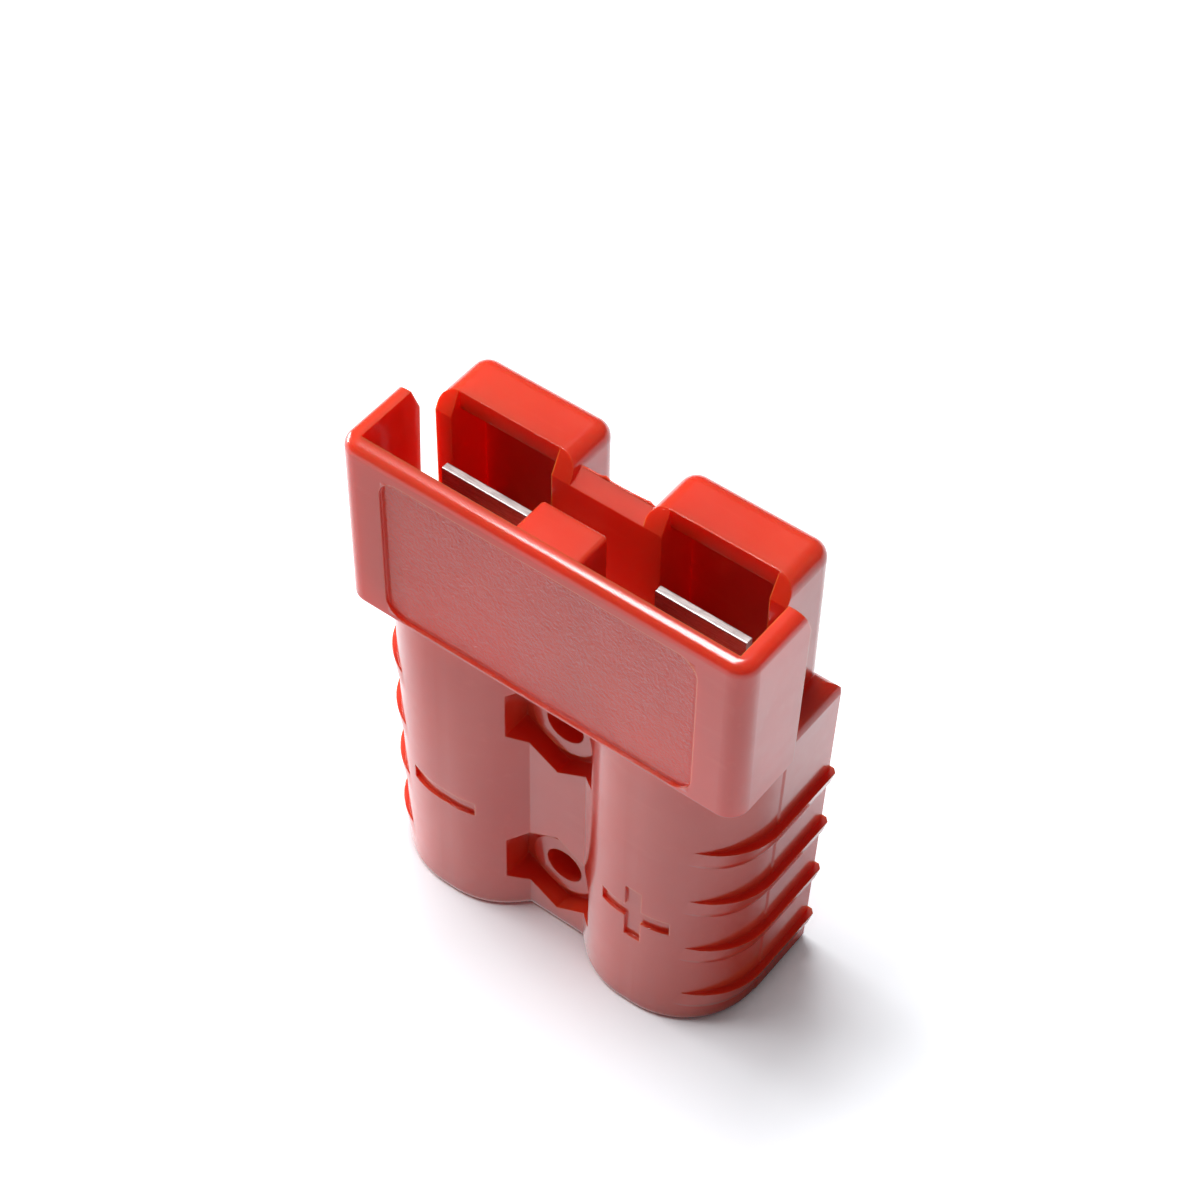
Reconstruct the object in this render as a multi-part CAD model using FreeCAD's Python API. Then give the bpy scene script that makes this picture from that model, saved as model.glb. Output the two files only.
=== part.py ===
import FreeCAD, Part
import math
import os

# Two-pole genderless power connector half, without its contacts. Millimetres.
# +Z points along the plugging direction, the cable-end face lies at z = 0.
# y = 0 is the plane in which two mated halves touch, the hood is on the -Y side.
# x = 0 is the plane between the two poles, the positive pole is on the +X side.

# Whole housing
height = 48.0
socket_depth = 14.2
floor_z = height - socket_depth
back_y = 6.4
barrel_radius = 7.15
barrel_gap = 2.7
pole_x = barrel_gap + barrel_radius
pole_y = -0.85
root_depth = 1.8
root_z = floor_z - root_depth

# Cable-side body: two barrels, the web between them and flat sides
barrel_draft = 0.006
barrel_front_flat = 1.25
flank_x = pole_x - barrel_front_flat
flank_length = 1.0782
web_depth = 2.9
web_y = pole_y - barrel_radius + web_depth
web_half = flank_x - math.sqrt(barrel_radius**2 + flank_length**2 - (web_y - pole_y) ** 2)
side_margin = 0.13
side_half = pole_x + barrel_radius + side_margin
side_draft = 0.021
side_step = 0.1
side_step_run = 0.25
back_bevel = 0.35
ledge_round = 1.6
base_round = 0.6
base_round_steps = 3

# Grip ribs
rib_first_z = 4.05
rib_pitch = 6.37
rib_count = 4
rib_depth = 0.58
rib_shift_x = 1.6
rib_shift_y = -0.28
rib_tighter = 0.98
rib_start = math.radians(-75.0)
rib_taper = 3.2
rib_sink = 0.3
rib_middle = 0.38

# Hood
hood_overhang = 1.12
hood_half = side_half + hood_overhang
hood_front_inset = 0.09
hood_front_y = pole_y - barrel_radius + hood_front_inset
hood_skirt = 2.65
hood_bottom_z = floor_z - hood_skirt
hood_front_wall = 1.3
hood_side_wall = 1.47
hood_corner = 1.7
hood_rim_round = 1.0
hood_bottom_round = 0.3
hood_end_low_y = -0.6
hood_end_top_y = 0.0
hood_end_chamfer_y = 0.85
hood_end_chamfer_z = 2.2
panel_side_margin = 4.02
panel_half = hood_half - panel_side_margin
panel_low_margin = 0.45
panel_low_z = hood_bottom_z + panel_low_margin
panel_top_margin = 1.6
panel_top_z = height - panel_top_margin
panel_corner = 1.8
panel_depth = 0.25

# Contact towers
cavity_width = 9.35
cavity_offset = -0.225
cavity_in = pole_x + cavity_offset - 0.5 * cavity_width
cavity_out = pole_x + cavity_offset + 0.5 * cavity_width
tower_inner_wall = 1.67
tower_in = cavity_in - tower_inner_wall
tower_outer_wall = 1.5
tower_out = cavity_out + tower_outer_wall
tower_front_y = 0.5
tower_drop = 0.28
tower_top_z = height - tower_drop
tower_slope = 2.02
tower_slope_low_z = tower_top_z - tower_slope
tower_round = 1.5
back_wall = 1.9
cavity_back_y = back_y - back_wall
roof_thickness = 1.72
roof_under_z = tower_top_z - roof_thickness
roof_front_y = 1.53

# Wall between the towers
middle_thickness = 1.5
middle_back_y = tower_front_y + middle_thickness
middle_drop = 1.12
middle_top_z = tower_top_z - middle_drop

# Key block on the inside of the hood, made to slide between the towers of the mated half
key_clearance = 0.35
key_half = tower_in - key_clearance
key_depth = 3.56
key_back_y = hood_front_y + hood_front_wall + key_depth
key_drop = 0.4
key_top_z = height - key_drop
key_round = 0.4

# Bore for the wire and channel for the contact
bore_radius = 4.9
bore_stop = 5.3
bore_top_z = floor_z - bore_stop
channel_depth = 6.8
channel_low_z = floor_z - channel_depth
channel_front_y = -0.6
channel_back_wall = 1.2
channel_back_y = back_y - channel_back_wall

# Hexagonal pockets with the mounting holes
pocket_flats = 8.4
pocket_depth = 1.6
pocket_floor_y = web_y + pocket_depth
pocket_low_z = 6.7
pocket_spacing = 18.3
ring_radius = 3.1
ring_height = 0.6
ring_y = pocket_floor_y - ring_height
hole_radius = 1.75

# Pole marks, sunk into the barrels
mark_offset = -0.25
mark_x = pole_x + mark_offset
mark_z = 12.6
mark_span = 6.3
mark_stroke = 1.5
mark_depth = 0.35

# Leaf springs, heights measured from the floor of the socket
spring_width = 8.0
spring_thickness = 0.75
spring_foot_depth = 9.3
spring_foot_z = floor_z - spring_foot_depth
spring_bend_depth = 3.8
spring_bend_z = floor_z - spring_bend_depth
spring_lift = 3.7
spring_lift_z = floor_z + spring_lift
spring_tip_length = 4.7
spring_tip_z = spring_lift_z + spring_tip_length
spring_tip_y = -1.3
spring_bend = 3.6
spring_clearance = 0.05
spring_edge_round = 0.12

# By how much cutting shapes run past the faces that they cut, and how close numbers count as equal
overrun = 1.0
tolerance = 0.001


def vec(x, y, z=0.0):
    return FreeCAD.Vector(x, y, z)


def box(x0, x1, y0, y1, z0, z1):
    return Part.makeBox(x1 - x0, y1 - y0, z1 - z0, vec(x0, y0, z0))


def prism_along_x(points, x0, x1):
    # points are (y, z) pairs
    corners = [vec(x0, y, z) for y, z in points]
    face = Part.Face(Part.makePolygon(corners + corners[:1]))
    return face.extrude(vec(x1 - x0, 0.0))


def mirrored(shape):
    return shape.mirror(vec(0.0, 0.0), vec(1.0, 0.0))


def rounded(shape, radius, wanted):
    # rounds every edge whose centre and direction satisfy the given test
    edges = [edge for edge in shape.Edges if wanted(edge)]
    return shape.makeFillet(radius, edges)


def near(value, target):
    return abs(value - target) < tolerance


def along(edge, axis):
    tangent = edge.tangentAt(edge.FirstParameter)
    return near(abs(getattr(tangent, axis)), 1.0)


def outer_edges(z, swell, inset, start_angle):
    # outer side of the body at height z: barrel front, small step, flat side and bevelled back corner
    # swell runs from 0 on the body to 1 at the tip of a rib, inset moves the outline inwards
    half = side_half + side_draft * z - inset
    radius = barrel_radius - barrel_draft * z - inset - swell * rib_tighter
    flat_x = half + swell * rib_depth
    centre = vec(pole_x + swell * rib_shift_x, pole_y + swell * rib_shift_y, z)
    front_end = vec(flat_x - (1.0 - swell) * side_step, centre.y, z)
    ellipse = Part.Ellipse(centre, front_end.x - centre.x, radius)
    points = [
        front_end,
        vec(flat_x, centre.y + side_step_run, z),
        vec(flat_x, back_y - inset - back_bevel, z),
        vec(flat_x - back_bevel, back_y - inset, z),
    ]
    edges = [Part.ArcOfEllipse(ellipse, start_angle, 0.0).toShape()]
    edges += [Part.makeLine(start, end) for start, end in zip(points, points[1:])]
    return edges, points[-1]


def body_wire(z, inset=0.0):
    # web between the barrels, flank, barrel front with a short flat, outer side and back
    radius = barrel_radius - barrel_draft * z - inset
    web = vec(web_half, web_y + inset, z)
    away_x = web.x - flank_x
    away_y = web.y - pole_y
    touch_angle = math.atan2(away_y, away_x) + math.acos(radius / math.hypot(away_x, away_y))
    front_angle = -0.5 * math.pi
    touch, middle, front = [
        vec(flank_x + radius * math.cos(angle), pole_y + radius * math.sin(angle), z)
        for angle in (touch_angle, 0.5 * (touch_angle + front_angle), front_angle)
    ]
    outer, back_end = outer_edges(z, 0.0, inset, front_angle)
    edges = [
        Part.makeLine(vec(0.0, web.y, z), web),
        Part.makeLine(web, touch),
        Part.Arc(touch, middle, front).toShape(),
        Part.makeLine(front, vec(pole_x, front.y, z)),
    ]
    edges += outer
    edges += [
        Part.makeLine(back_end, vec(0.0, back_end.y, z)),
        Part.makeLine(vec(0.0, back_end.y, z), vec(0.0, web.y, z)),
    ]
    return Part.Wire(edges)


def rib_wire(z, swell, inset=0.0):
    # outline of a rib at height z, closed through the inside of the body
    outer, back_end = outer_edges(z, swell, inset, rib_start)
    start = outer[0].Vertexes[0].Point
    inner_front = vec(pole_x, pole_y, z)
    inner_back = vec(pole_x, back_end.y, z)
    edges = [Part.makeLine(inner_front, start)]
    edges += outer
    edges += [Part.makeLine(back_end, inner_back), Part.makeLine(inner_back, inner_front)]
    return Part.Wire(edges)


def make_body():
    # right half: rounded foot, drafted sides, top trimmed to the rounded ledge
    wires = []
    for step in range(base_round_steps + 1):
        angle = 0.5 * math.pi * step / base_round_steps
        wires.append(body_wire(base_round * (1.0 - math.sin(angle)), base_round * (1.0 - math.cos(angle))))
    wires.reverse()
    wires.append(body_wire(floor_z))
    body = Part.makeLoft(wires, True, True)
    ledge_half = side_half + side_draft * floor_z
    trim = box(-overrun, ledge_half, hood_front_y - overrun, back_y, -overrun, floor_z)
    trim = rounded(
        trim,
        ledge_round,
        lambda e: near(e.CenterOfMass.z, floor_z)
        and (near(e.CenterOfMass.x, ledge_half) or near(e.CenterOfMass.y, back_y)),
    )
    return body.common(trim)


def make_ribs():
    # each rib swells out of the body over its taper and ends in a flat ledge that faces up
    ribs = []
    for index in range(rib_count):
        top_z = rib_first_z + index * rib_pitch
        sections = [
            rib_wire(top_z - rib_taper, 0.0, rib_sink),
            rib_wire(top_z - 0.5 * rib_taper, rib_middle),
            rib_wire(top_z, 1.0),
        ]
        ribs.append(Part.makeLoft(sections, True, True))
    return ribs


def make_hood():
    # right half of the hood as a block with rounded outer edges, free ends trimmed to their taper
    hood = box(0.0, hood_half, hood_front_y, back_y, hood_bottom_z, height)
    hood = rounded(hood, hood_corner, lambda e: along(e, "z") and near(e.CenterOfMass.x, hood_half)
                   and near(e.CenterOfMass.y, hood_front_y))
    hood = rounded(hood, hood_rim_round, lambda e: near(e.CenterOfMass.z, height) and on_hood_skin(e))
    hood = rounded(hood, hood_bottom_round, lambda e: near(e.CenterOfMass.z, hood_bottom_z) and on_hood_skin(e))
    slope = (hood_end_top_y - hood_end_low_y) / (height - hood_bottom_z)
    chamfer_z = height - hood_end_chamfer_z
    chamfer_y = hood_end_top_y - slope * hood_end_chamfer_z
    keep = prism_along_x(
        [
            (hood_front_y - overrun, hood_bottom_z - overrun),
            (hood_end_low_y - slope * overrun, hood_bottom_z - overrun),
            (chamfer_y, chamfer_z),
            (chamfer_y - hood_end_chamfer_y, height),
            (hood_front_y - overrun, height),
        ],
        -overrun,
        hood_half + overrun,
    )
    hood = hood.common(keep)
    inside = box(
        -overrun,
        hood_half - hood_side_wall,
        hood_front_y + hood_front_wall,
        back_y,
        floor_z,
        height + overrun,
    )
    return hood.cut(inside)


def on_hood_skin(edge):
    # outer front, side and corner edges of the hood, not those of its inner faces
    centre = edge.CenterOfMass
    front = near(centre.y, hood_front_y)
    side = near(centre.x, hood_half)
    corner = edge.Curve.TypeId == "Part::GeomCircle"
    return front or side or corner


def make_panel_cut():
    # shallow field on the hood's front
    panel = box(
        -panel_half,
        panel_half,
        hood_front_y - overrun,
        hood_front_y + panel_depth,
        panel_low_z,
        panel_top_z,
    )
    return rounded(panel, panel_corner, lambda e: along(e, "y"))


def make_key():
    key = box(-key_half, key_half, hood_front_y + 0.5 * hood_front_wall, key_back_y, root_z, key_top_z)
    key = rounded(key, key_round, lambda e: near(e.CenterOfMass.z, key_top_z) or along(e, "z")
                  and near(e.CenterOfMass.y, key_back_y))
    return key


def make_tower():
    # block with rounded back and top, its front top edge sloped, opened to the front and above the roof
    block = box(tower_in, tower_out, tower_front_y, back_y, root_z, tower_top_z)
    block = rounded(
        block,
        tower_round,
        lambda e: (along(e, "z") and near(e.CenterOfMass.y, back_y))
        or (near(e.CenterOfMass.z, tower_top_z) and not near(e.CenterOfMass.y, tower_front_y)),
    )
    keep = prism_along_x(
        [
            (tower_front_y, root_z),
            (tower_front_y, tower_slope_low_z),
            (roof_front_y, tower_top_z),
            (back_y, tower_top_z),
            (back_y, root_z),
        ],
        tower_in,
        tower_out,
    )
    block = block.common(keep)
    opening_y = tower_front_y - overrun
    cavity = box(cavity_in, cavity_out, opening_y, cavity_back_y, floor_z, roof_under_z)
    open_top = box(cavity_in, cavity_out, opening_y, roof_front_y, floor_z, tower_top_z + overrun)
    return block.cut([cavity, open_top])


def make_middle_wall():
    # ends inside the inner walls of both towers
    half = 0.5 * (tower_in + cavity_in)
    return prism_along_x(
        [
            (tower_front_y, root_z),
            (tower_front_y, tower_slope_low_z),
            (middle_back_y, middle_top_z),
            (middle_back_y, root_z),
        ],
        -half,
        half,
    )


def make_pole_cuts():
    # bore for the wire, channel for the contact and the seat of the spring's foot, on the right pole
    bore = Part.makeCylinder(bore_radius, bore_top_z + overrun, vec(pole_x, pole_y, -overrun))
    channel = box(cavity_in, cavity_out, channel_front_y, channel_back_y, channel_low_z, floor_z)
    seat_half = 0.5 * spring_width + spring_clearance
    seat = box(
        pole_x - seat_half,
        pole_x + seat_half,
        channel_back_y - spring_thickness - spring_clearance,
        channel_back_y,
        spring_foot_z,
        channel_low_z + overrun,
    )
    return [bore, channel, seat]


def make_pocket_cut(z):
    # hexagon with upright flats, leaving a raised ring round the mounting hole
    corner_reach = pocket_flats / math.sqrt(3.0)
    corners = []
    for index in range(6):
        angle = math.radians(30.0 + 60.0 * index)
        corners.append(
            vec(corner_reach * math.cos(angle), hood_front_y, z + corner_reach * math.sin(angle))
        )
    hexagon = Part.Face(Part.makePolygon(corners + corners[:1])).extrude(vec(0.0, pocket_floor_y - hood_front_y))
    ring_length = pocket_floor_y - ring_y + overrun
    hole_length = back_y - ring_y + 2.0 * overrun
    ring = Part.makeCylinder(ring_radius, ring_length, vec(0.0, ring_y, z), vec(0.0, 1.0))
    hole = Part.makeCylinder(hole_radius, hole_length, vec(0.0, ring_y - overrun, z), vec(0.0, 1.0))
    return hexagon.cut(ring).fuse(hole)


def make_mark_cut(side, upright):
    # minus sign, or plus sign where upright is true, with a floor that follows the barrel
    # side is +1 for the positive pole and -1 for the negative pole
    half_span = 0.5 * mark_span
    half_stroke = 0.5 * mark_stroke
    front = hood_front_y - overrun
    mark = box(
        mark_x - half_span, mark_x + half_span, front, pole_y, mark_z - half_stroke, mark_z + half_stroke
    )
    if upright:
        stroke = box(
            mark_x - half_stroke, mark_x + half_stroke, front, pole_y, mark_z - half_span, mark_z + half_span
        )
        mark = mark.fuse(stroke)
    core_radius = barrel_radius - mark_depth
    cores = [Part.makeCylinder(core_radius, floor_z, vec(x, pole_y)) for x in (flank_x, pole_x)]
    cores.append(box(flank_x, pole_x, pole_y - core_radius, pole_y, 0.0, floor_z))
    mark = mark.cut(cores)
    return mark if side > 0 else mirrored(mark)


def make_housing():
    body = make_body()
    hood = make_hood()
    tower = make_tower()
    half = body
    for rib in make_ribs():
        half = half.fuse(rib)
    half = half.fuse([hood, tower])
    half = half.cut(make_pole_cuts())
    housing = half.fuse([mirrored(half), make_key(), make_middle_wall()])
    cuts = [make_panel_cut()]
    cuts.append(make_pocket_cut(pocket_low_z))
    cuts.append(make_pocket_cut(pocket_low_z + pocket_spacing))
    cuts.append(make_mark_cut(-1, False))
    cuts.append(make_mark_cut(1, True))
    return housing.cut(cuts).removeSplitter()


def make_spring(x):
    # bent strip: foot against the back of the channel, slanting part, upright tip
    half = 0.5 * spring_thickness
    foot_y = channel_back_y - half
    tip_y = spring_tip_y + half
    slant = math.atan2(foot_y - tip_y, spring_lift_z - spring_bend_z)
    mitre = half * math.tan(0.5 * slant)
    strip = prism_along_x(
        [
            (foot_y - half, spring_foot_z),
            (foot_y - half, spring_bend_z - mitre),
            (tip_y - half, spring_lift_z - mitre),
            (tip_y - half, spring_tip_z),
            (tip_y + half, spring_tip_z),
            (tip_y + half, spring_lift_z + mitre),
            (foot_y + half, spring_bend_z + mitre),
            (foot_y + half, spring_foot_z),
        ],
        x - 0.5 * spring_width,
        x + 0.5 * spring_width,
    )
    inner_bends = ((foot_y - half, spring_bend_z - mitre), (tip_y + half, spring_lift_z + mitre))
    outer_bends = ((tip_y - half, spring_lift_z - mitre), (foot_y + half, spring_bend_z + mitre))
    strip = rounded(strip, spring_bend, lambda e: along(e, "x") and edge_at(e, inner_bends))
    strip = rounded(strip, spring_bend + spring_thickness, lambda e: along(e, "x") and edge_at(e, outer_bends))
    return rounded(strip, spring_edge_round, lambda e: along(e, "x") and near(e.CenterOfMass.z, spring_tip_z))


def edge_at(edge, places):
    centre = edge.CenterOfMass
    return any(near(centre.y, y) and near(centre.z, z) for y, z in places)


parts = {
    "housing": make_housing(),
    "negative_spring": make_spring(-pole_x),
    "positive_spring": make_spring(pole_x),
}
os.makedirs("parts", exist_ok=True)
for name, shape in parts.items():
    print(name, shape.isValid(), shape.Volume, shape.BoundBox)
    shape.exportStep("parts/" + name + ".step")
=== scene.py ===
import math
import random

import bpy
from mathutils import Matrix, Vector


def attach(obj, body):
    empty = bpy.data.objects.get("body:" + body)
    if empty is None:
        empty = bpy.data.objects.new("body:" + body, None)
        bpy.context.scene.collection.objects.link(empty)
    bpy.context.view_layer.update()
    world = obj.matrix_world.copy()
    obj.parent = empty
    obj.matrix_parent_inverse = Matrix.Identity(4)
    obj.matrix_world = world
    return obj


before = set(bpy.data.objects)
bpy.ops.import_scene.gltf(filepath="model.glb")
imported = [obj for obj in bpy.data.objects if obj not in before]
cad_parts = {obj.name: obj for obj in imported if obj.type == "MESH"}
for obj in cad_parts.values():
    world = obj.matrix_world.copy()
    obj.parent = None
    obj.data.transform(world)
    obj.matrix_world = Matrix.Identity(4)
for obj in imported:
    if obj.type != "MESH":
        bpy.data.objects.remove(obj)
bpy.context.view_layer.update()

MM = 0.001

# Camera of the photograph: looks down on the hood's right-hand corner
CAMERA_AZIMUTH = math.radians(37.90)
CAMERA_ELEVATION = math.radians(52.03)
CAMERA_DISTANCE = 227.0 * MM
CAMERA_TARGET = Vector((-2.84, -2.38, 17.99)) * MM
CAMERA_CLIP_START = 0.01
IMAGE_SIZE = 1200.0
FOCAL_PIXELS = 2871.1
CENTRE_PIXEL = (550.0, 750.0)
SENSOR_WIDTH = 36.0

# Panel on the hood's front: half width, lowest and highest z, the y it lies in front of, soft borders
PANEL_HALF = 14.1 * MM
PANEL_LOW = 31.75 * MM
PANEL_TOP = 46.25 * MM
PANEL_Y = -7.5 * MM
PANEL_BORDER = 0.3 * MM
PANEL_FRONT_BORDER = 0.1 * MM

# Plastic: colours in linear light (one a painted orange glow for the edges), radii of the rounded edges
# and of the painted edge glow, heights of the relief, glow under the skin
RED_DARKER = (0.80, 0.044, 0.016, 1.0)
RED_LIGHTER = (0.87, 0.056, 0.020, 1.0)
RED_STREAK = (0.90, 0.085, 0.040, 1.0)
RED_EDGE_GLOW = (0.96, 0.075, 0.018, 1.0)
PINK_SPECK = (0.92, 0.45, 0.40, 1.0)
EDGE_RADIUS = 0.14 * MM
GLOW_EDGE_RADIUS = 0.3 * MM
WAVE_HEIGHT = 0.04 * MM
GRAIN_HEIGHT = 0.13 * MM
SPECK_HEIGHT = 0.02 * MM
SPECK_SHARE = 0.5
PANEL_DULLNESS = 0.12
GLOW_DEPTH = 5.0 * MM
HOUSING_GLOW = 0.75
FLASH_GLOW = 0.0

# Steel of the springs: colours in linear light and height of the rolling lines
STEEL_DARKER = (0.36, 0.36, 0.36, 1.0)
STEEL_LIGHTER = (0.50, 0.50, 0.49, 1.0)
STEEL_SPOT = (0.30, 0.28, 0.27, 1.0)
LINE_HEIGHT = 0.01 * MM

# Flash of the mould: step along the edge, depth of its root, how its height varies, its cross-section
FLASH_STEP = 0.16 * MM
FLASH_ROOT = 0.12 * MM
FLASH_SLOW_STEPS = 6
FLASH_SLOW_HEIGHTS = (0.35, 1.0)
FLASH_QUICK_HEIGHTS = (0.75, 1.0)
FLASH_LEAN = (-0.15, 0.15)
FLASH_LUMP_WIDTH = 0.035
FLASH_END_SLOPE = 12.0
FLASH_SHOULDER_HEIGHT = 0.55
FLASH_SHOULDER_WIDTH = 0.6
FLASH_RING = 5

# Edges that carry flash, in millimetres: the middle wall's top, the front edges of the tower roofs
WALL_HALF = 3.3
WALL_Y = 1.98
WALL_TOP = 46.55
WALL_OUT = (0.0, 0.35, 1.0)
ROOF_INNER = 4.9
ROOF_OUTER = 14.2
ROOF_Y = 1.53
ROOF_TOP = 47.70
ROOF_OUT = (0.0, -0.7, 0.7)

# Floor: reach, colours for the camera and for other rays, and its lift to white close by and far off
FLOOR_REACH = 3.0
FLOOR_SEEN = (0.92, 0.94, 0.98, 1.0)
FLOOR_UNSEEN = (0.61, 0.63, 0.66, 1.0)
FLOOR_LIFT_COLOUR = (0.96, 1.0, 1.03, 1.0)
FLOOR_LIFT = 0.36
FLOOR_LIFT_FAR = 0.6
FLOOR_NEAR = 0.025
FLOOR_FAR = 0.12
CONTACT_REACH = 0.03

# Floor in reflections: its strength, and the spots where it is dimmer, as place, dark and clear distance
MIRRORED_FLOOR = 0.5
DIM_SPOTS = (((-0.045, -0.036, 0.0), 0.014, 0.045), ((0.022, 0.004, 0.0), 0.006, 0.024))

# Surroundings: white for the camera, and a faint light from all sides on the object
ROOM_COLOUR = (1.0, 1.0, 1.0, 1.0)
ROOM_LIGHT = 0.10


class Nodes:
    # short helpers to build a node tree
    def __init__(self, tree):
        self.tree = tree

    def add(self, kind, **values):
        node = self.tree.nodes.new(kind)
        for name, value in values.items():
            setattr(node, name, value)
        return node

    def link(self, source, target):
        self.tree.links.new(source, target)

    def feed(self, socket, value):
        if hasattr(value, "links"):
            self.link(value, socket)
        else:
            socket.default_value = value

    def calculate(self, operation, first, second=0.0):
        node = self.add("ShaderNodeMath", operation=operation)
        self.feed(node.inputs[0], first)
        self.feed(node.inputs[1], second)
        return node.outputs[0]

    def multiply(self, first, second):
        return self.calculate("MULTIPLY", first, second)

    def ramp(self, value, low, high, to_low=0.0, to_high=1.0):
        node = self.add("ShaderNodeMapRange", interpolation_type="SMOOTHSTEP")
        self.feed(node.inputs["Value"], value)
        node.inputs["From Min"].default_value = low
        node.inputs["From Max"].default_value = high
        node.inputs["To Min"].default_value = to_low
        node.inputs["To Max"].default_value = to_high
        return node.outputs["Result"]

    def noise(self, place, scale, detail=2.0, roughness=0.5, stretch=None):
        if stretch:
            mapping = self.add("ShaderNodeMapping")
            mapping.inputs["Scale"].default_value = stretch
            self.link(place, mapping.inputs["Vector"])
            place = mapping.outputs["Vector"]
        node = self.add("ShaderNodeTexNoise")
        node.inputs["Scale"].default_value = scale
        node.inputs["Detail"].default_value = detail
        node.inputs["Roughness"].default_value = roughness
        self.link(place, node.inputs["Vector"])
        return node.outputs["Fac"]

    def mix(self, factor, first, second):
        node = self.add("ShaderNodeMix", data_type="RGBA")
        self.feed(node.inputs["Factor"], factor)
        for name, value in (("A", first), ("B", second)):
            colours = [socket for socket in node.inputs if socket.name == name and socket.type == "RGBA"]
            self.feed(colours[0], value)
        return [socket for socket in node.outputs if socket.type == "RGBA"][0]

    def bevel(self, samples, radius):
        node = self.add("ShaderNodeBevel", samples=samples)
        node.inputs["Radius"].default_value = radius
        return node.outputs[0]

    def bump(self, height, strength, distance, normal=None):
        node = self.add("ShaderNodeBump")
        node.inputs["Strength"].default_value = strength
        node.inputs["Distance"].default_value = distance
        self.link(height, node.inputs["Height"])
        if normal is not None:
            self.link(normal, node.inputs["Normal"])
        return node.outputs["Normal"]


def principled(name):
    material = bpy.data.materials.new(name)
    material.use_nodes = True
    tree = material.node_tree
    return material, Nodes(tree), tree.nodes["Principled BSDF"]


def new_object(name, data):
    made = bpy.data.objects.new(name, data)
    bpy.context.scene.collection.objects.link(made)
    return made


def make_camera():
    data = bpy.data.cameras.new("camera")
    data.sensor_width = SENSOR_WIDTH
    data.lens = FOCAL_PIXELS * SENSOR_WIDTH / IMAGE_SIZE
    data.shift_x = (0.5 * IMAGE_SIZE - CENTRE_PIXEL[0]) / IMAGE_SIZE
    data.shift_y = (CENTRE_PIXEL[1] - 0.5 * IMAGE_SIZE) / IMAGE_SIZE
    data.clip_start = CAMERA_CLIP_START
    camera = new_object("camera", data)
    flat = math.cos(CAMERA_ELEVATION)
    back_x = math.sin(CAMERA_AZIMUTH) * flat
    back_y = -math.cos(CAMERA_AZIMUTH) * flat
    back = Vector((back_x, back_y, math.sin(CAMERA_ELEVATION)))
    camera.location = CAMERA_TARGET + back * CAMERA_DISTANCE
    camera.rotation_euler = back.to_track_quat("Z", "Y").to_euler()
    bpy.context.scene.camera = camera


def panel_mask(nodes, place):
    # one on the grained panel of the hood's front, nought elsewhere
    split = nodes.add("ShaderNodeSeparateXYZ")
    nodes.link(place, split.inputs[0])
    x, y, z = split.outputs
    inside_x = nodes.ramp(nodes.calculate("ABSOLUTE", x), PANEL_HALF, PANEL_HALF - PANEL_BORDER)
    inside_low = nodes.ramp(z, PANEL_LOW, PANEL_LOW + PANEL_BORDER)
    inside_top = nodes.ramp(z, PANEL_TOP, PANEL_TOP - PANEL_BORDER)
    in_front = nodes.ramp(y, PANEL_Y + PANEL_FRONT_BORDER, PANEL_Y)
    panel = nodes.multiply(inside_x, nodes.multiply(inside_low, inside_top))
    return nodes.multiply(panel, in_front)


def edge_mask(nodes):
    # rises where the widely rounded normal leaves the real one; it places the painted edge glow
    geometry = nodes.add("ShaderNodeNewGeometry")
    match = nodes.add("ShaderNodeVectorMath", operation="DOT_PRODUCT")
    nodes.link(nodes.bevel(2, GLOW_EDGE_RADIUS), match.inputs[0])
    nodes.link(geometry.outputs["Normal"], match.inputs[1])
    return nodes.ramp(match.outputs["Value"], low=0.985, high=0.86)


def speck_mask(nodes, place):
    # small dots, most of them thinned out by a slow noise
    cells = nodes.add("ShaderNodeTexVoronoi")
    cells.inputs["Scale"].default_value = 520.0
    nodes.link(place, cells.inputs["Vector"])
    dots = nodes.ramp(cells.outputs["Distance"], low=0.07, high=0.04)
    thin_out = nodes.ramp(nodes.noise(place, scale=230.0, detail=1.0), low=0.66, high=0.69)
    return nodes.multiply(dots, thin_out)


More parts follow.
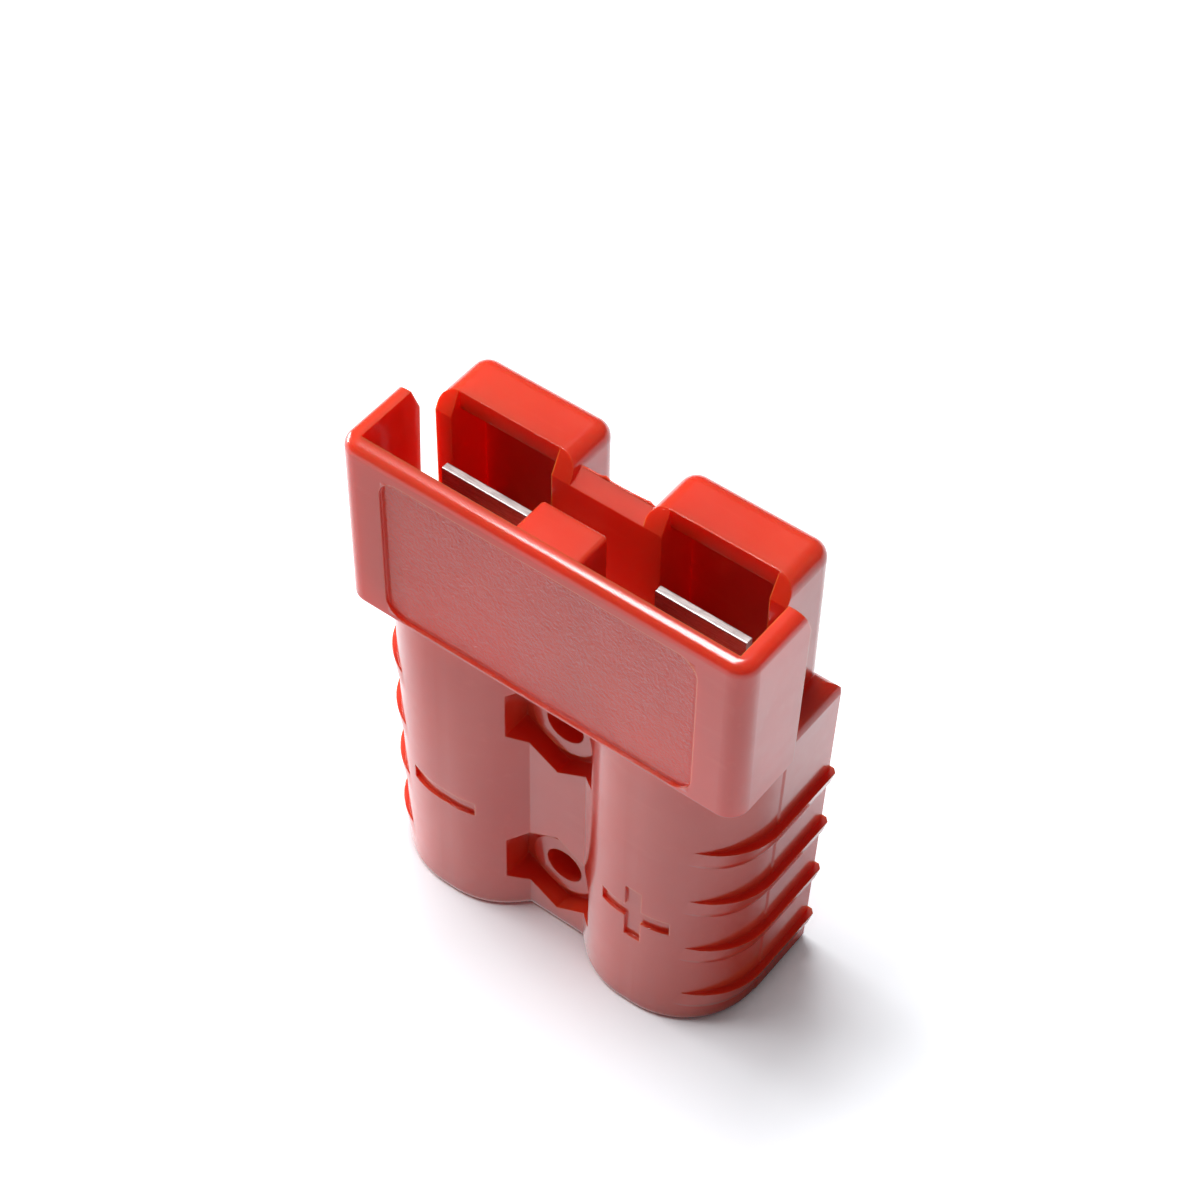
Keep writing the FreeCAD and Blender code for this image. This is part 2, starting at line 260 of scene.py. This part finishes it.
def make_red_plastic(name, glow):
    material, nodes, shader = principled(name)
    place = nodes.add("ShaderNodeTexCoord").outputs["Object"]
    panel = panel_mask(nodes, place)
    speck = speck_mask(nodes, place)

    # colour: slow clouding, faint flow streaks, a painted glow that makes the edges lighter and more
    # orange in patches, and a few pale specks
    cloud = nodes.ramp(nodes.noise(place, scale=90.0), low=0.3, high=0.7)
    colour = nodes.mix(cloud, RED_DARKER, RED_LIGHTER)
    streak = nodes.noise(place, scale=1500.0, roughness=0.6, stretch=(0.10, 1.0, 0.5))
    streak = nodes.ramp(streak, low=0.56, high=0.76, to_low=0.0, to_high=0.22)
    colour = nodes.mix(streak, colour, RED_STREAK)
    # painted glow: the rounded edges turn lighter and more orange, unevenly along their length
    patchy_glow = nodes.ramp(nodes.noise(place, scale=900.0), low=0.25, high=0.75, to_low=0.35, to_high=0.85)
    colour = nodes.mix(nodes.multiply(edge_mask(nodes), patchy_glow), colour, RED_EDGE_GLOW)
    colour = nodes.mix(nodes.multiply(speck, SPECK_SHARE), colour, PINK_SPECK)
    nodes.link(colour, shader.inputs["Base Color"])

    # roughness: smoother skin, duller grained panel
    skin = nodes.ramp(nodes.noise(place, scale=350.0), low=0.3, high=0.7, to_low=0.295, to_high=0.36)
    roughness = nodes.calculate("ADD", skin, nodes.multiply(panel, PANEL_DULLNESS))
    nodes.link(roughness, shader.inputs["Roughness"])

    # relief: rounded edges, slight waviness, grain in the panel and specks
    wave = nodes.noise(place, scale=170.0, detail=1.0)
    grain = nodes.multiply(nodes.noise(place, scale=3600.0, roughness=0.6), panel)
    normal = nodes.bevel(3, EDGE_RADIUS)
    normal = nodes.bump(wave, strength=0.12, distance=WAVE_HEIGHT, normal=normal)
    normal = nodes.bump(grain, strength=1.0, distance=GRAIN_HEIGHT, normal=normal)
    normal = nodes.bump(speck, strength=0.3, distance=SPECK_HEIGHT, normal=normal)
    nodes.link(normal, shader.inputs["Normal"])
    nodes.link(normal, shader.inputs["Coat Normal"])

    shader.inputs["IOR"].default_value = 1.56
    shader.inputs["Specular IOR Level"].default_value = 0.25
    shader.inputs["Coat Weight"].default_value = 1.0
    shader.inputs["Coat Roughness"].default_value = 0.11
    shader.inputs["Subsurface Weight"].default_value = glow
    shader.inputs["Subsurface Radius"].default_value = (1.0, 0.14, 0.05)
    shader.inputs["Subsurface Scale"].default_value = GLOW_DEPTH
    return material


def make_steel():
    material, nodes, shader = principled("spring_steel")
    place = nodes.add("ShaderNodeTexCoord").outputs["Object"]
    lines = nodes.noise(place, scale=900.0, detail=4.0, roughness=0.6, stretch=(1.0, 14.0, 14.0))
    spots = nodes.ramp(nodes.noise(place, scale=1500.0), low=0.62, high=0.72, to_low=0.0, to_high=0.5)
    colour = nodes.mix(nodes.ramp(lines, low=0.35, high=0.65), STEEL_DARKER, STEEL_LIGHTER)
    colour = nodes.mix(spots, colour, STEEL_SPOT)
    roughness = nodes.ramp(lines, low=0.3, high=0.7, to_low=0.34, to_high=0.46)
    normal = nodes.bump(lines, strength=0.12, distance=LINE_HEIGHT)
    nodes.link(colour, shader.inputs["Base Color"])
    nodes.link(roughness, shader.inputs["Roughness"])
    nodes.link(normal, shader.inputs["Normal"])
    shader.inputs["Metallic"].default_value = 1.0
    return material


def dress(name, material):
    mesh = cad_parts[name].data
    mesh.materials.clear()
    mesh.materials.append(material)


def flash_vertices(start, end, out, rise, width, seed, lumps):
    # one ring of five points for each step: root, shoulder, crest, shoulder, root
    chance = random.Random(seed)
    length = (end - start).length
    side = (end - start).normalized().cross(out)
    half = 0.5 * width * MM
    steps = int(length / FLASH_STEP)
    slow = [chance.uniform(*FLASH_SLOW_HEIGHTS) for _ in range(steps // FLASH_SLOW_STEPS + 3)]
    vertices = []
    for step in range(steps + 1):
        share = step / steps
        place = step / FLASH_SLOW_STEPS
        index = int(place)
        blend = place - index
        height = slow[index] * (1.0 - blend) + slow[index + 1] * blend
        height *= chance.uniform(*FLASH_QUICK_HEIGHTS)
        for centre, extra in lumps:
            height += extra * math.exp(-(((share - centre) / FLASH_LUMP_WIDTH) ** 2))
        fade = min(1.0, FLASH_END_SLOPE * share, FLASH_END_SLOPE * (1.0 - share))
        height *= fade * rise * MM
        base = start + (end - start) * share
        lean = chance.uniform(*FLASH_LEAN) * height
        shoulder = base + out * (FLASH_SHOULDER_HEIGHT * height)
        shoulder_side = side * (FLASH_SHOULDER_WIDTH * half)
        vertices.append(base - out * FLASH_ROOT - side * half)
        vertices.append(shoulder - shoulder_side)
        vertices.append(base + out * height + side * lean)
        vertices.append(shoulder + shoulder_side)
        vertices.append(base - out * FLASH_ROOT + side * half)
    return vertices, steps


def flash_faces(steps):
    faces = []
    for step in range(steps):
        ring = step * FLASH_RING
        next_ring = ring + FLASH_RING
        for corner in range(FLASH_RING):
            following = (corner + 1) % FLASH_RING
            faces.append((ring + corner, ring + following, next_ring + following, next_ring + corner))
    faces.append(tuple(range(FLASH_RING))[::-1])
    faces.append(tuple(steps * FLASH_RING + corner for corner in range(FLASH_RING)))
    return faces


def make_flash(name, start, end, out, rise, width, seed, material, lumps=()):
    # thin, uneven fin left by the mould's parting line along an edge from start to end
    # out points away from the edge, lumps are (share of the length, extra rise)
    start = Vector(start) * MM
    end = Vector(end) * MM
    out = Vector(out).normalized()
    vertices, steps = flash_vertices(start, end, out, rise, width, seed, lumps)
    mesh = bpy.data.meshes.new(name)
    mesh.from_pydata(vertices, [], flash_faces(steps))
    for polygon in mesh.polygons:
        polygon.use_smooth = True
    mesh.materials.append(material)
    piece = new_object(name, mesh)
    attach(piece, "root")


def make_floor():
    mesh = bpy.data.meshes.new("floor")
    corners = ((-1, -1), (1, -1), (1, 1), (-1, 1))
    mesh.from_pydata([(x * FLOOR_REACH, y * FLOOR_REACH, 0.0) for x, y in corners], [], [(0, 1, 2, 3)])
    floor = new_object("floor", mesh)
    material = bpy.data.materials.new("floor_white")
    material.use_nodes = True
    material.node_tree.nodes.clear()
    nodes = Nodes(material.node_tree)
    path = nodes.add("ShaderNodeLightPath")
    place = nodes.add("ShaderNodeTexCoord").outputs["Object"]

    # matt part: paler where it is seen straight than where it lights the object
    seen = nodes.calculate("MAXIMUM", path.outputs["Is Camera Ray"], path.outputs["Is Transmission Ray"])
    matt = nodes.add("ShaderNodeBsdfDiffuse")
    nodes.link(nodes.mix(seen, FLOOR_UNSEEN, FLOOR_SEEN), matt.inputs["Color"])

    # the lift to white fades where the object stands close, which paints a contact shadow on the floor
    open_sky = nodes.add("ShaderNodeAmbientOcclusion", samples=4)
    open_sky.inputs["Distance"].default_value = CONTACT_REACH
    near = nodes.ramp(open_sky.outputs["AO"], low=0.45, high=0.85)
    distance = nodes.add("ShaderNodeVectorMath", operation="LENGTH")
    nodes.link(place, distance.inputs[0])
    level = nodes.ramp(distance.outputs["Value"], FLOOR_NEAR, FLOOR_FAR, FLOOR_LIFT, FLOOR_LIFT_FAR)
    level = nodes.multiply(level, near)

    # reflections see a floor that is dimmer in front of the left-hand side and beside the right-hand foot
    mirrored = MIRRORED_FLOOR
    for spot, low, high in DIM_SPOTS:
        away = nodes.add("ShaderNodeVectorMath", operation="DISTANCE")
        away.inputs[1].default_value = spot
        nodes.link(place, away.inputs[0])
        mirrored = nodes.multiply(nodes.ramp(away.outputs["Value"], low, high), mirrored)
    mirrored = nodes.multiply(path.outputs["Is Glossy Ray"], mirrored)
    shown = nodes.calculate("ADD", nodes.multiply(seen, level), mirrored)
    lift = nodes.add("ShaderNodeEmission")
    lift.inputs["Color"].default_value = FLOOR_LIFT_COLOUR
    nodes.link(shown, lift.inputs["Strength"])

    both = nodes.add("ShaderNodeAddShader")
    output = nodes.add("ShaderNodeOutputMaterial")
    nodes.link(matt.outputs[0], both.inputs[0])
    nodes.link(lift.outputs[0], both.inputs[1])
    nodes.link(both.outputs[0], output.inputs["Surface"])
    mesh.materials.append(material)


def make_world():
    world = bpy.data.worlds.new("studio")
    bpy.context.scene.world = world
    world.use_nodes = True
    background = world.node_tree.nodes["Background"]
    background.inputs["Color"].default_value = ROOM_COLOUR
    nodes = Nodes(world.node_tree)
    path = nodes.add("ShaderNodeLightPath")
    white = nodes.multiply(path.outputs["Is Camera Ray"], 1.0 - ROOM_LIGHT)
    strength = nodes.calculate("ADD", white, ROOM_LIGHT)
    nodes.link(strength, background.inputs["Strength"])


def area_light(name, place, target, size, power):
    data = bpy.data.lights.new(name, "AREA")
    data.shape = "RECTANGLE"
    data.size = size[0]
    data.size_y = size[1]
    data.energy = power
    light = new_object(name, data)
    light.location = place
    light.rotation_euler = (Vector(place) - Vector(target)).to_track_quat("Z", "Y").to_euler()


bpy.context.scene.view_settings.view_transform = "Standard"

make_camera()
make_floor()
make_world()

# the key light is long in x, so that it lies along the hood's rim as a highlight
area_light(
    "key",
    place=(-0.18, 0.03, 0.66),
    target=(0.0, 0.0, 0.02),
    size=(0.46, 0.18),
    power=4.8,
)
area_light(
    "left_fill",
    place=(-0.50, 0.0, 0.10),
    target=(0.0, 0.0, 0.03),
    size=(0.25, 0.12),
    power=1.7,
)

# a fin is too thin for light to spread in it, so its plastic has no glow
red = make_red_plastic("moulded_red", HOUSING_GLOW)
thin_red = make_red_plastic("thin_flash_red", FLASH_GLOW)
steel = make_steel()
dress("housing", red)
dress("negative_spring", steel)
dress("positive_spring", steel)

# parting-line flash on the wall between the towers and on the front edges of the tower roofs
make_flash(
    "flash_middle",
    start=(-WALL_HALF, WALL_Y, WALL_TOP),
    end=(WALL_HALF, WALL_Y, WALL_TOP),
    out=WALL_OUT,
    rise=0.16,
    width=0.20,
    seed=4,
    material=thin_red,
    lumps=((0.33, 1.2), (0.93, 0.5)),
)
make_flash(
    "flash_roof_negative",
    start=(-ROOF_OUTER, ROOF_Y, ROOF_TOP),
    end=(-ROOF_INNER, ROOF_Y, ROOF_TOP),
    out=ROOF_OUT,
    rise=0.08,
    width=0.10,
    seed=7,
    material=thin_red,
)
make_flash(
    "flash_roof_positive",
    start=(ROOF_INNER, ROOF_Y, ROOF_TOP),
    end=(ROOF_OUTER, ROOF_Y, ROOF_TOP),
    out=ROOF_OUT,
    rise=0.10,
    width=0.10,
    seed=9,
    material=thin_red,
    lumps=((0.33, 1.0), (0.47, 0.9), (0.62, 1.4)),
)
